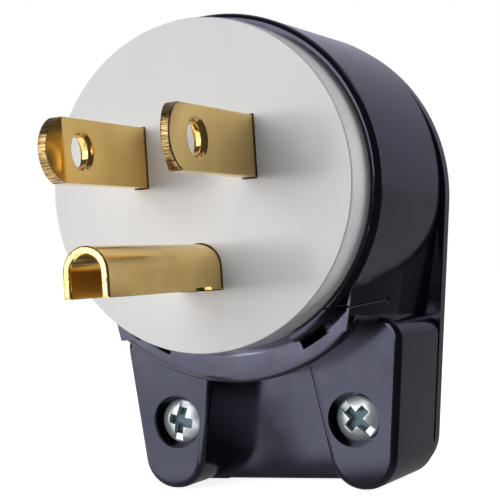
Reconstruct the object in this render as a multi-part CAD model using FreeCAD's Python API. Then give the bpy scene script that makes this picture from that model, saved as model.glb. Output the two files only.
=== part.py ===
import FreeCAD, Part

import math
import os

# A rewirable three-pin angle plug for a mains cord.
#
# Frame: the origin is the centre of the white face, in the plane that meets the socket.
# +X is to the right seen from the pins, +Y runs back into the housing, +Z is up.
# The cord leaves downwards, along -Z. All sizes are millimetres.

Vec = FreeCAD.Vector
ORIGIN = Vec(0, 0, 0)
AXIS_X = Vec(1, 0, 0)
AXIS_Y = Vec(0, 1, 0)
AXIS_Z = Vec(0, 0, 1)

# Flat pins
BLADE_WIDTH = 6.35
BLADE_THICKNESS = 1.52
BLADE_LENGTH = 17.5
BLADE_SPACING = 12.7
BLADE_ROW_Z = 3.45
BLADE_TIP_RADIUS = 3.37
BLADE_BEVEL_LENGTH = 2.2
BLADE_BEVEL_DEPTH = 0.6
BLADE_HOLE_D = 3.15
BLADE_HOLE_RIM = 0.4
BLADE_HOLE_FROM_FACE = 12.1
BEND_RADIUS = 1.0

# Ground pin, folded from sheet to an arch that is open below
GROUND_DROP = 11.89
GROUND_WIDTH = 4.8
GROUND_HEIGHT = 4.75
GROUND_LENGTH = 21.65
GROUND_WALL = 0.8
GROUND_NOTCH_FROM_FACE = 2.3
GROUND_NOTCH_LENGTH = 3.3
GROUND_NOTCH_DEPTH = 0.3

# Terminals
PAD_REACH = 8.2
PAD_FRONT_Y = 9.2
GROUND_PAD_WIDTH = 6.4
GROUND_PAD_DROP = 7.0
TERMINAL_OFFSET = 4.9
GROUND_TERMINAL_DROP = 3.4
TERMINAL_SHANK_D = 3.5
TERMINAL_HEAD_D = 5.0
TERMINAL_HEAD_H = 2.1
TERMINAL_SCREW_LENGTH = 6.0
PLATE_WIDTH = 6.4
PLATE_HEIGHT = 5.6
PLATE_THICKNESS = 1.1
PLATE_LIP = 0.6

# White face body
FACE_EDGE_INSET = 0.12
FACE_EDGE_LENGTH = 0.38
FACE_THICKNESS = 6.0
SLOT_CLEARANCE = 0.12

# Terminal block behind the face body
BLOCK_FLOOR = 1.2
BLOCK_WALL = 1.5
BLOCK_REAR_Y = 20.5
BARRIER_THICKNESS = 1.4
WINDOW_MARGIN = 0.15
BLOCK_CENTRE_DROP = 2.0
POST_RADIUS = 2.9

# Drum of the front housing: the outer radius at its rear sets every round size of the plug
DRUM_RADIUS = 18.75
DRUM_DRAFT = 0.2
DRUM_WALL = 2.1
DRUM_FRONT_Y = 4.74
DRUM_REAR_Y = 24.0
DRUM_LIP_RADIUS = 0.75
LIP_WIDTH = 0.83
DISC_CLEARANCE = 0.27
BLOCK_CLEARANCE = 0.2

# Collar under the drum, joined to it by a bridge in the middle, with a pocket on each side
COLLAR_FRONT_Y = 6.65
COLLAR_OVERHANG = 2.52
COLLAR_EDGE_RADIUS = 0.7
COLLAR_HALF_ANGLE = 44.2
BRIDGE_HALF_ANGLE = 24.5
TRENCH_WIDTH = 0.44
TRENCH_DEPTH = 2.4
POCKET_WIDTH = 0.93
POCKET_DEPTH = 4.5
POCKET_END_ANGLE = 51.0
POCKET_SIDE_WALL = 0.35

# Neck between the drum and the lower block: slanting sides that flare towards the cover.
# Each station is a place along Y and how far the side stands outside the drum's radius there.
NECK_STATIONS = [(5.5, -1.8), (17.5, -0.65), (DRUM_REAR_Y, 0.38)]
NECK_SLANT_Z = 0.218
NECK_TOP_Z = -4.0

# Lower block with its two ears
SIDE_TAPER_DEG = 6.6
EAR_FACE_Y = 12.2
PANEL_Y = 19.4
LOWER_BLOCK_RISE = 0.2
BOTTOM_Z = -33.4
EAR_DRAFT = 0.031
BLOCK_TOP_FILLET = 2.4
EAR_END_SHARE = 0.53
EAR_EDGE_FILLET = 0.7
PANEL_EDGE_FILLET = 0.6
RECESS_HALF_WIDTH = 5.95
RECESS_SPREAD_DEG = 10.5
RECESS_REFERENCE_Z = -20.0
HOUSING_INSET = 0.1

# Back cover
COVER_OVERHANG = 0.4
COVER_DROP = 0.62
COVER_THICKNESS = 1.7
COVER_CORNER_RADIUS = 4.8
COVER_EDGE_FILLET = 0.25
COVER_RIM_HEIGHT = 2.0
COVER_RIM_WALL = 1.2

# Cord channel, half in the housing and half in a hump of the cover
CORD_CHANNEL_RADIUS = 4.6
CORD_AXIS_Y = 25.2
HUMP_WALL = 1.4
CORD_CHANNEL_TOP_Z = -13.0
GRIP_RIB_COUNT = 3
GRIP_RIB_HEIGHT = 0.6
GRIP_RIB_WIDTH = 1.0
GRIP_RIB_PITCH = 2.6
GRIP_RIB_FIRST = 6.0

# Clamp screws through the ears, with nuts in the cover
CLAMP_EDGE_DISTANCE = 5.36
CLAMP_SCREW_RISE = 7.6
CLAMP_HEAD_D = 5.0
CLAMP_HEAD_H = 2.1
CLAMP_HEAD_DOME = 0.7
CLAMP_HEAD_SINK = 0.7
CLAMP_SHANK_D = 3.0
COUNTERBORE_D = 6.0
SCREW_CLEARANCE = 0.2
NUT_ACROSS_FLATS = 5.5
NUT_THICKNESS = 2.4
NUT_CLEARANCE = 0.1
NUT_BOSS_RADIUS = 4.2
NUT_BOSS_HEIGHT = 2.4
THREAD_CLEARANCE = 0.05

# Screws that hold the cover, the block and the face body together
POST_TOP_INSET = 4.25
POST_SIDE_INSET = 3.12
POST_SIDE_ANGLE = -38.4
COVER_SCREW_D = 2.9
COVER_SCREW_HEAD_D = 5.4
COVER_SCREW_TIP_Y = 6.4
DRIVE_SLOT_WIDTH = 1.05
DRIVE_SLOT_SHARE = 0.9
DRIVE_SLOT_DEPTH = 0.7
DRIVE_CROSS_SHARE = 0.6
DRIVE_CROSS_DEPTH = 1.3

# Screws that hold the terminal block on the face body
RETAINER_X = 6.2
RETAINER_Z = 10.0
RETAINER_D = 2.2
RETAINER_HEAD_D = 4.2
RETAINER_HEAD_H = 1.3
RETAINER_TIP_Y = 5.5

# Places that follow from the sizes above
PAD_REAR_Y = PAD_FRONT_Y + BLADE_THICKNESS
BLADE_X = BLADE_SPACING / 2
TERMINAL_X = BLADE_X + TERMINAL_OFFSET
GROUND_Z = BLADE_ROW_Z - GROUND_DROP
GROUND_TERMINAL_Z = GROUND_Z - GROUND_TERMINAL_DROP
GROUND_PAD_BOTTOM_Z = GROUND_Z - GROUND_PAD_DROP
DRUM_FRONT_RADIUS = DRUM_RADIUS - DRUM_DRAFT
BORE_RADIUS = DRUM_RADIUS - DRUM_WALL
SEAT_RADIUS = DRUM_FRONT_RADIUS - LIP_WIDTH
FACE_RADIUS = SEAT_RADIUS - DISC_CLEARANCE
BLOCK_RADIUS = BORE_RADIUS - BLOCK_CLEARANCE
BLOCK_FLOOR_Y = PAD_REAR_Y + BLOCK_FLOOR
COLLAR_RADIUS = DRUM_FRONT_RADIUS + COLLAR_OVERHANG
POCKET_OUTER_RADIUS = DRUM_FRONT_RADIUS + POCKET_WIDTH
LOWER_BLOCK_TOP_Z = LOWER_BLOCK_RISE - COLLAR_RADIUS * math.cos(math.radians(COLLAR_HALF_ANGLE))
COVER_RADIUS = DRUM_RADIUS + COVER_OVERHANG
COVER_REAR_Y = DRUM_REAR_Y + COVER_THICKNESS
HUMP_RADIUS = CORD_CHANNEL_RADIUS + HUMP_WALL
TAPER = math.radians(SIDE_TAPER_DEG)
POST_SIDE_RADIUS = BORE_RADIUS - POST_SIDE_INSET
POST_SIDE_X = POST_SIDE_RADIUS * math.cos(math.radians(POST_SIDE_ANGLE))
POST_SIDE_Z = POST_SIDE_RADIUS * math.sin(math.radians(POST_SIDE_ANGLE))
POSTS = [(0.0, BORE_RADIUS - POST_TOP_INSET), (-POST_SIDE_X, POST_SIDE_Z), (POST_SIDE_X, POST_SIDE_Z)]
BLOCK_CENTRE = (0.0, -BLOCK_CENTRE_DROP)
TERMINALS = {
    "line": (-TERMINAL_X, BLADE_ROW_Z),
    "neutral": (TERMINAL_X, BLADE_ROW_Z),
    "ground": (0.0, GROUND_TERMINAL_Z),
}


def cylinder_y(radius, x, z, y_from, y_to):
    """A round bar along Y."""
    return Part.makeCylinder(radius, y_to - y_from, Vec(x, y_from, z), AXIS_Y)


def box(x_from, x_to, y_from, y_to, z_from, z_to):
    """A block between two corners."""
    return Part.makeBox(x_to - x_from, y_to - y_from, z_to - z_from, Vec(x_from, y_from, z_from))


def polygon_face(points):
    """A flat face inside straight sides."""
    corners = [Vec(*point) for point in points]
    return Part.Face(Part.makePolygon(corners + corners[:1]))


def prism_y(points_xz, y_from, y_to):
    """An outline in X and Z, pushed along Y."""
    face = polygon_face([(x, y_from, z) for x, z in points_xz])
    return face.extrude(Vec(0, y_to - y_from, 0))


def revolve_y(points_ry, start_deg=0.0, sweep_deg=360.0):
    """A profile of radius and Y, turned about the Y axis, counted from +X towards +Z."""
    face = polygon_face([(radius, y, 0) for radius, y in points_ry])
    face.rotate(ORIGIN, AXIS_Y, -start_deg)
    return face.revolve(ORIGIN, AXIS_Y, -sweep_deg)


def mirror_x(shape):
    """The same shape on the other side of the middle plane."""
    return shape.mirror(ORIGIN, AXIS_X)


def fuse_all(shapes):
    """One solid from several that meet."""
    return shapes[0].fuse(shapes[1:]).removeSplitter()


def edges_at(shape, test):
    """The edges whose middle point passes a test."""
    chosen = []
    for edge in shape.Edges:
        middle = edge.valueAt((edge.FirstParameter + edge.LastParameter) / 2)
        if test(edge, middle):
            chosen.append(edge)
    return chosen


def runs_along_y(edge):
    """True for a straight edge along Y."""
    if len(edge.Vertexes) != 2:
        return False
    run = edge.Vertexes[1].Point - edge.Vertexes[0].Point
    return abs(run.y) > 0.99 * edge.Length


def bent_face(corners, bends):
    """A flat face through corners in order; bends holds a middle point where a side is an arc."""
    edges = []
    for index, start in enumerate(corners):
        end = corners[(index + 1) % len(corners)]
        if index in bends:
            edges.append(Part.Arc(start, bends[index], end).toShape())
        else:
            edges.append(Part.LineSegment(start, end).toShape())
    return Part.Face(Part.Wire(edges))


def round_middle(centre, radius, towards_x, towards_y):
    """The middle of a quarter arc in the XY plane, on the side of the two given signs."""
    reach = radius * math.sqrt(0.5)
    return Vec(centre.x + towards_x * reach, centre.y + towards_y * reach, 0)


def side_x(inset, z):
    """Half the width of the cover's outline at a height, less an inset."""
    return (COVER_RADIUS - inset + (z + COVER_DROP) * math.sin(TAPER)) / math.cos(TAPER)


CLAMP_SCREW_Z = BOTTOM_Z + CLAMP_SCREW_RISE
CLAMP_SCREW_X = side_x(HOUSING_INSET, CLAMP_SCREW_Z) - CLAMP_EDGE_DISTANCE


def cover_plate():
    """A round head, a little lower than the drum, with two tapered sides and rounded corners."""
    y = DRUM_REAR_Y
    tangent = Vec(COVER_RADIUS * math.cos(TAPER), y, -COVER_RADIUS * math.sin(TAPER) - COVER_DROP)
    other = Vec(-tangent.x, y, tangent.z)
    crown = Vec(0, y, COVER_RADIUS - COVER_DROP)
    bottom_x = side_x(0, BOTTOM_Z)
    face = bent_face([tangent, other, Vec(-bottom_x, y, BOTTOM_Z), Vec(bottom_x, y, BOTTOM_Z)], {0: crown})
    solid = face.extrude(Vec(0, COVER_THICKNESS, 0))
    corners = edges_at(solid, lambda edge, mid: runs_along_y(edge) and mid.z < BOTTOM_Z + 0.01)
    solid = solid.makeFillet(COVER_CORNER_RADIUS, corners)
    back_edges = edges_at(solid, lambda edge, mid: abs(mid.y - COVER_REAR_Y) < 0.01)
    return solid.makeFillet(COVER_EDGE_FILLET, back_edges)


def blade_strip(growth):
    """The bent strip of a flat pin on the right side; growth widens it for its slot."""
    outer_x = BLADE_X + BLADE_THICKNESS / 2 + growth
    inner_x = BLADE_X - BLADE_THICKNESS / 2 - growth
    front_y = PAD_FRONT_Y - growth
    rear_y = PAD_REAR_Y + growth
    inner_bend = BEND_RADIUS - growth
    outer_bend = BEND_RADIUS + BLADE_THICKNESS + growth
    centre = Vec(outer_x + inner_bend, front_y - inner_bend, 0)
    end_x = BLADE_X + PAD_REACH + growth
    corners = [
        Vec(inner_x, -BLADE_LENGTH, 0),
        Vec(inner_x, centre.y, 0),
        Vec(centre.x, rear_y, 0),
        Vec(end_x, rear_y, 0),
        Vec(end_x, front_y, 0),
        Vec(centre.x, front_y, 0),
        Vec(outer_x, centre.y, 0),
        Vec(outer_x, -BLADE_LENGTH, 0),
    ]
    bends = {1: round_middle(centre, outer_bend, -1, 1), 5: round_middle(centre, inner_bend, -1, 1)}
    half = BLADE_WIDTH / 2 + growth
    face = bent_face(corners, bends)
    face.translate(Vec(0, 0, BLADE_ROW_Z - half))
    return face.extrude(Vec(0, 0, 2 * half))


def blade():
    """A flat pin with its rounded, bevelled tip, its hole and its bent terminal pad."""
    strip = blade_strip(0.0)
    half = BLADE_WIDTH / 2
    tip_y = -BLADE_LENGTH
    sagitta = BLADE_TIP_RADIUS - math.sqrt(BLADE_TIP_RADIUS ** 2 - half ** 2)
    low = Vec(0, tip_y + sagitta, BLADE_ROW_Z - half)
    high = Vec(0, tip_y + sagitta, BLADE_ROW_Z + half)
    tip = Vec(0, tip_y, BLADE_ROW_Z)
    rear_low = Vec(0, PAD_REAR_Y, low.z)
    rear_high = Vec(0, PAD_REAR_Y, high.z)
    outline = bent_face([low, high, rear_high, rear_low], {0: tip})
    keep = outline.extrude(Vec(BLADE_X + PAD_REACH, 0, 0))
    strip = strip.common(keep)
    inner_x = BLADE_X - BLADE_THICKNESS / 2
    bevel = polygon_face([
        (inner_x, tip_y, BLADE_ROW_Z - half),
        (inner_x + BLADE_BEVEL_DEPTH, tip_y, BLADE_ROW_Z - half),
        (inner_x, tip_y + BLADE_BEVEL_LENGTH, BLADE_ROW_Z - half),
    ]).extrude(Vec(0, 0, BLADE_WIDTH))
    hole_radius = BLADE_HOLE_D / 2
    hole_y = -BLADE_HOLE_FROM_FACE
    hole = Part.makeCylinder(hole_radius, BLADE_SPACING, Vec(0, hole_y, BLADE_ROW_Z), AXIS_X)
    rims = []
    for face_x, step in ((inner_x, 1), (inner_x + BLADE_THICKNESS, -1)):
        start = Vec(face_x, hole_y, BLADE_ROW_Z)
        wide = hole_radius + BLADE_HOLE_RIM
        rims.append(Part.makeCone(wide, hole_radius, BLADE_HOLE_RIM, start, AXIS_X * step))
    thread = cylinder_y(TERMINAL_SHANK_D / 2 + THREAD_CLEARANCE, TERMINAL_X, BLADE_ROW_Z,
                        PAD_FRONT_Y - 1, PAD_REAR_Y + 1)
    return strip.cut([bevel, hole, thread] + rims)


def ground_arch(growth, y_from, y_to):
    """The arch of the ground pin, as a solid rod without its hollow."""
    radius = GROUND_WIDTH / 2 + growth
    foot_z = GROUND_Z + GROUND_WIDTH / 2 - GROUND_HEIGHT - growth
    corners = [Vec(radius, y_from, GROUND_Z), Vec(-radius, y_from, GROUND_Z),
               Vec(-radius, y_from, foot_z), Vec(radius, y_from, foot_z)]
    arch = bent_face(corners, {0: Vec(0, y_from, GROUND_Z + radius)})
    return arch.extrude(Vec(0, y_to - y_from, 0))


def ground_pad(growth):
    """The flat terminal pad at the inner end of the ground pin."""
    half = GROUND_PAD_WIDTH / 2 + growth
    top_z = GROUND_Z + GROUND_WIDTH / 2 + growth
    return box(-half, half, PAD_REAR_Y - GROUND_WALL - growth, PAD_REAR_Y,
               GROUND_PAD_BOTTOM_Z - growth, top_z)


def ground_pin():
    """The folded ground pin: an arch with rounded leading edges, notched legs and a pad."""
    tip_y = -GROUND_LENGTH
    arch = ground_arch(0.0, tip_y, PAD_REAR_Y)
    hollow = ground_arch(-GROUND_WALL, tip_y - 1, PAD_REAR_Y - GROUND_WALL)
    foot_z = GROUND_Z + GROUND_WIDTH / 2 - GROUND_HEIGHT
    below = box(-GROUND_WIDTH / 2 + GROUND_WALL, GROUND_WIDTH / 2 - GROUND_WALL,
                tip_y - 1, PAD_REAR_Y - GROUND_WALL, foot_z - 1, GROUND_Z)
    arch = arch.cut([hollow, below])
    rounding = GROUND_WALL * 0.3
    leading = edges_at(arch, lambda edge, mid: mid.y < tip_y + 0.01)
    arch = arch.makeFillet(rounding, leading)
    notch_start = -GROUND_NOTCH_FROM_FACE - GROUND_NOTCH_LENGTH
    notch = box(-GROUND_WIDTH, GROUND_WIDTH, notch_start, -GROUND_NOTCH_FROM_FACE,
                foot_z - 1, foot_z + GROUND_NOTCH_DEPTH)
    thread = cylinder_y(TERMINAL_SHANK_D / 2 + THREAD_CLEARANCE, 0, GROUND_TERMINAL_Z,
                        PAD_FRONT_Y - 1, PAD_REAR_Y + 1)
    return fuse_all([arch.cut(notch), ground_pad(0.0)]).cut(thread)


def post_hole(x, z, radius, y_from, y_to):
    """A straight hole along Y."""
    return cylinder_y(radius, x, z, y_from, y_to)


def face_body():
    """The white disc with its slots, and the core behind it that carries the pins."""
    disc = revolve_y([
        (0, 0), (FACE_RADIUS - FACE_EDGE_INSET, 0), (FACE_RADIUS, FACE_EDGE_LENGTH),
        (FACE_RADIUS, FACE_THICKNESS), (BLOCK_RADIUS, FACE_THICKNESS),
        (BLOCK_RADIUS, PAD_REAR_Y), (0, PAD_REAR_Y),
    ])
    slot = blade_strip(SLOT_CLEARANCE)
    cuts = [slot, mirror_x(slot)]
    cuts.append(ground_arch(SLOT_CLEARANCE, -1, PAD_REAR_Y))
    cuts.append(ground_pad(SLOT_CLEARANCE))
    shank = TERMINAL_SHANK_D / 2 + SCREW_CLEARANCE
    screw_end = BLOCK_FLOOR_Y - TERMINAL_SCREW_LENGTH - SCREW_CLEARANCE
    for x, z in TERMINALS.values():
        cuts.append(post_hole(x, z, shank, screw_end, PAD_REAR_Y))
    for x, z in POSTS:
        cuts.append(post_hole(x, z, COVER_SCREW_D / 2 + THREAD_CLEARANCE, COVER_SCREW_TIP_Y, PAD_REAR_Y))
    for x in (-RETAINER_X, RETAINER_X):
        cuts.append(post_hole(x, RETAINER_Z, RETAINER_D / 2 + THREAD_CLEARANCE, RETAINER_TIP_Y, PAD_REAR_Y))
    return disc.cut(cuts)


def barrier(target):
    """An upright wall of the terminal block from its middle to a post."""
    from_x, from_z = BLOCK_CENTRE
    run = Vec(target[0] - from_x, 0, target[1] - from_z)
    wall = box(0, run.Length, PAD_REAR_Y, BLOCK_REAR_Y, -BARRIER_THICKNESS / 2, BARRIER_THICKNESS / 2)
    wall.rotate(ORIGIN, AXIS_Y, -math.degrees(math.atan2(run.z, run.x)))
    wall.translate(Vec(from_x, 0, from_z))
    return wall


def terminal_block():
    """The rear moulding: a cup with three wiring chambers, posts and terminal windows."""
    wall_inner = BLOCK_RADIUS - BLOCK_WALL
    cup = revolve_y([
        (0, PAD_REAR_Y), (BLOCK_RADIUS, PAD_REAR_Y), (BLOCK_RADIUS, BLOCK_REAR_Y),
        (wall_inner, BLOCK_REAR_Y), (wall_inner, BLOCK_FLOOR_Y), (0, BLOCK_FLOOR_Y),
    ])
    solids = [cup]
    for x, z in POSTS:
        solids.append(cylinder_y(POST_RADIUS, x, z, PAD_REAR_Y, BLOCK_REAR_Y))
        solids.append(barrier((x, z)))
    limit = cylinder_y(BLOCK_RADIUS, 0, 0, PAD_REAR_Y, BLOCK_REAR_Y)
    body = fuse_all(solids).common(limit)
    cuts = []
    half_x = PLATE_WIDTH / 2 + WINDOW_MARGIN
    half_z = PLATE_HEIGHT / 2 + WINDOW_MARGIN
    window_top = PAD_REAR_Y + PLATE_THICKNESS + PLATE_LIP + WINDOW_MARGIN
    for x, z in TERMINALS.values():
        cuts.append(box(x - half_x, x + half_x, PAD_REAR_Y - 1, window_top, z - half_z, z + half_z))
    for x, z in POSTS:
        cuts.append(post_hole(x, z, COVER_SCREW_D / 2 + SCREW_CLEARANCE, PAD_REAR_Y - 1, BLOCK_REAR_Y + 1))
    shank = RETAINER_D / 2 + SCREW_CLEARANCE
    head = RETAINER_HEAD_D / 2 + SCREW_CLEARANCE
    for x in (-RETAINER_X, RETAINER_X):
        cuts.append(post_hole(x, RETAINER_Z, shank, PAD_REAR_Y - 1, BLOCK_REAR_Y))
        cuts.append(post_hole(x, RETAINER_Z, head, BLOCK_FLOOR_Y, BLOCK_REAR_Y))
    return body.cut(cuts)


def drum():
    """The round front of the housing, with a rolled lip and a seat for the white disc."""
    crest = DRUM_FRONT_RADIUS - DRUM_LIP_RADIUS
    lip_y = DRUM_FRONT_Y + DRUM_LIP_RADIUS
    corners = [
        Vec(SEAT_RADIUS, DRUM_FRONT_Y, 0), Vec(crest, DRUM_FRONT_Y, 0),
        Vec(DRUM_FRONT_RADIUS, lip_y, 0), Vec(DRUM_RADIUS, DRUM_REAR_Y, 0),
        Vec(BORE_RADIUS, DRUM_REAR_Y, 0), Vec(BORE_RADIUS, FACE_THICKNESS, 0),
        Vec(SEAT_RADIUS, FACE_THICKNESS, 0),
    ]
    lip = round_middle(Vec(crest, lip_y, 0), DRUM_LIP_RADIUS, 1, -1)
    return bent_face(corners, {1: lip}).revolve(ORIGIN, AXIS_Y, 360)


def ring_sector(inner, outer, y_from, y_to, start_deg, end_deg):
    """A part of a ring about Y, between two angles counted from straight down towards +X."""
    profile = [(inner, y_from), (outer, y_from), (outer, y_to), (inner, y_to)]
    return revolve_y(profile, start_deg - 90, end_deg - start_deg)


def collar():
    """The crescent wall under the drum, with a rounded front edge."""
    flat = COLLAR_RADIUS - COLLAR_EDGE_RADIUS
    edge_y = COLLAR_FRONT_Y + COLLAR_EDGE_RADIUS
    corners = [
        Vec(SEAT_RADIUS, COLLAR_FRONT_Y, 0), Vec(flat, COLLAR_FRONT_Y, 0),
        Vec(COLLAR_RADIUS, edge_y, 0), Vec(COLLAR_RADIUS, DRUM_REAR_Y, 0),
        Vec(SEAT_RADIUS, DRUM_REAR_Y, 0),
    ]
    edge = round_middle(Vec(flat, edge_y, 0), COLLAR_EDGE_RADIUS, 1, -1)
    face = bent_face(corners, {1: edge})
    face.rotate(ORIGIN, AXIS_Y, 90 + COLLAR_HALF_ANGLE)
    return face.revolve(ORIGIN, AXIS_Y, -2 * COLLAR_HALF_ANGLE)


def bridge_cuts():
    """The lip's gap above the bridge, and the trench between the disc and the bridge."""
    angle = BRIDGE_HALF_ANGLE
    gap = ring_sector(SEAT_RADIUS - 0.01, COLLAR_RADIUS, DRUM_FRONT_Y - 1, COLLAR_FRONT_Y, -angle, angle)
    trench = ring_sector(SEAT_RADIUS - 0.01, SEAT_RADIUS + TRENCH_WIDTH, COLLAR_FRONT_Y - 1,
                         COLLAR_FRONT_Y + TRENCH_DEPTH, -angle, angle)
    return [gap, trench]


def collar_pockets():
    """The narrow slots outside the drum, from the bridge up into the neck on both sides."""
    start_y = NECK_STATIONS[0][0] - 1
    pocket = ring_sector(DRUM_FRONT_RADIUS + 0.02, POCKET_OUTER_RADIUS, start_y,
                         COLLAR_FRONT_Y + POCKET_DEPTH, BRIDGE_HALF_ANGLE, POCKET_END_ANGLE)
    pocket = pocket.common(neck_body(POCKET_SIDE_WALL, start_y))
    return [pocket, mirror_x(pocket)]


def neck_body(inset, first_y):
    """The neck's slanting sides as a solid that reaches from high in the drum to its bottom."""
    low_z = -COLLAR_RADIUS
    wires = []
    for index, (y, outside) in enumerate(NECK_STATIONS):
        place_y = y if index else first_y
        top = DRUM_RADIUS + outside - inset + NECK_SLANT_Z * NECK_TOP_Z
        low = DRUM_RADIUS + outside - inset + NECK_SLANT_Z * low_z
        corners = [Vec(top, place_y, NECK_TOP_Z), Vec(low, place_y, low_z),
                   Vec(-low, place_y, low_z), Vec(-top, place_y, NECK_TOP_Z)]
        wires.append(Part.makePolygon(corners + corners[:1]))
    return Part.makeLoft(wires, True, True)


def neck():
    """The waist between the drum and the lower block, which ends at the collar's round wall."""
    first_y = NECK_STATIONS[0][0]
    solid = neck_body(0, first_y)
    low_z = LOWER_BLOCK_TOP_Z - 1
    front = solid.common(cylinder_y(COLLAR_RADIUS, 0, 0, first_y, EAR_FACE_Y))
    rear = solid.common(box(-COLLAR_RADIUS, COLLAR_RADIUS, EAR_FACE_Y, DRUM_REAR_Y, low_z, 0))
    keep = box(-COLLAR_RADIUS, COLLAR_RADIUS, first_y, EAR_FACE_Y, low_z, 0)
    return fuse_all([front.common(keep), rear])


def ear_outline(y):
    """The outline of the lower block at a place along Y: its sides close in towards the front."""
    inset = HOUSING_INSET + EAR_DRAFT * (DRUM_REAR_Y - y)
    top = side_x(inset, LOWER_BLOCK_TOP_Z)
    bottom = side_x(inset, BOTTOM_Z)
    corners = [Vec(-top, y, LOWER_BLOCK_TOP_Z), Vec(top, y, LOWER_BLOCK_TOP_Z),
               Vec(bottom, y, BOTTOM_Z), Vec(-bottom, y, BOTTOM_Z)]
    return Part.makePolygon(corners + corners[:1])


def recess_x(z):
    """Half the width of the recess between the ears at a height."""
    return RECESS_HALF_WIDTH + (RECESS_REFERENCE_Z - z) * math.tan(math.radians(RECESS_SPREAD_DEG))


def panel_foot():
    """What is cut away to round the lower edge of the recessed panel."""
    half = recess_x(BOTTOM_Z)
    radius = PANEL_EDGE_FILLET
    corner = box(-half, half, PANEL_Y - 1, PANEL_Y + radius, BOTTOM_Z - 1, BOTTOM_Z + radius)
    start = Vec(-half - 1, PANEL_Y + radius, BOTTOM_Z + radius)
    return corner.cut(Part.makeCylinder(radius, 2 * half + 2, start, AXIS_X))


def lower_block():
    """The block under the neck: two ears with a recessed panel between them."""
    block = Part.makeLoft([ear_outline(EAR_FACE_Y), ear_outline(DRUM_REAR_Y)], True, True)
    high_z = LOWER_BLOCK_TOP_Z + 1
    low_z = BOTTOM_Z - 1
    recess = prism_y([(-recess_x(high_z), high_z), (recess_x(high_z), high_z),
                      (recess_x(low_z), low_z), (-recess_x(low_z), low_z)],
                     EAR_FACE_Y - 1, PANEL_Y)
    block = block.cut(recess)
    ear_width = side_x(HOUSING_INSET, BOTTOM_Z) - recess_x(BOTTOM_Z)
    top_corners = edges_at(block, lambda edge, mid: runs_along_y(edge) and mid.z > LOWER_BLOCK_TOP_Z - 0.1
                           and abs(mid.x) > recess_x(BOTTOM_Z))
    block = block.makeFillet(BLOCK_TOP_FILLET, top_corners)
    ends = edges_at(block, lambda edge, mid: runs_along_y(edge) and mid.z < BOTTOM_Z + 0.1)
    block = block.makeFillet(EAR_END_SHARE * ear_width, ends)
    rims = edges_at(block, lambda edge, mid: abs(mid.y - EAR_FACE_Y) < 0.01)
    return block.makeFillet(EAR_EDGE_FILLET, rims).cut(panel_foot())


def cord_rod(radius, z_from, z_to):
    """A round bar down the cord's axis."""
    return Part.makeCylinder(radius, z_to - z_from, Vec(0, CORD_AXIS_Y, z_from), AXIS_Z)


def grip_ribs():
    """Rings that narrow the cord channel, to bite on the cord's sheath."""
    rings = []
    outer = CORD_CHANNEL_RADIUS + HUMP_WALL / 2
    inner = CORD_CHANNEL_RADIUS - GRIP_RIB_HEIGHT
    for index in range(GRIP_RIB_COUNT):
        low_z = BOTTOM_Z + GRIP_RIB_FIRST + index * GRIP_RIB_PITCH
        ring = cord_rod(outer, low_z, low_z + GRIP_RIB_WIDTH)
        rings.append(ring.cut(cord_rod(inner, low_z - 1, low_z + GRIP_RIB_WIDTH + 1)))
    return rings


def front_housing():
    """The black moulding: drum, collar, neck and lower block in one piece."""
    outer = fuse_all([drum(), collar(), neck(), lower_block()])
    cuts = [cylinder_y(BORE_RADIUS, 0, 0, FACE_THICKNESS, DRUM_REAR_Y + 1)]
    cuts.append(cylinder_y(SEAT_RADIUS, 0, 0, DRUM_FRONT_Y - 1, FACE_THICKNESS))
    cuts.extend(bridge_cuts())
    cuts.extend(collar_pockets())
    cuts.append(cord_rod(CORD_CHANNEL_RADIUS, BOTTOM_Z - 1, CORD_CHANNEL_TOP_Z))
    for side in (-1, 1):
        x = side * CLAMP_SCREW_X
        floor_y = EAR_FACE_Y + CLAMP_HEAD_SINK + CLAMP_HEAD_H
        cuts.append(cylinder_y(COUNTERBORE_D / 2, x, CLAMP_SCREW_Z, EAR_FACE_Y - 1, floor_y))
        cuts.append(cylinder_y(CLAMP_SHANK_D / 2 + SCREW_CLEARANCE, x, CLAMP_SCREW_Z, floor_y, DRUM_REAR_Y))
        cuts.append(cylinder_y(NUT_BOSS_RADIUS + SCREW_CLEARANCE, x, CLAMP_SCREW_Z,
                               DRUM_REAR_Y - NUT_BOSS_HEIGHT, DRUM_REAR_Y + 1))
    body = outer.cut(cuts)
    ribs = []
    front_half = box(-HUMP_RADIUS, HUMP_RADIUS, PANEL_Y, DRUM_REAR_Y, BOTTOM_Z, 0)
    for ring in grip_ribs():
        ribs.append(ring.common(front_half))
    return fuse_all([body] + ribs)


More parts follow.
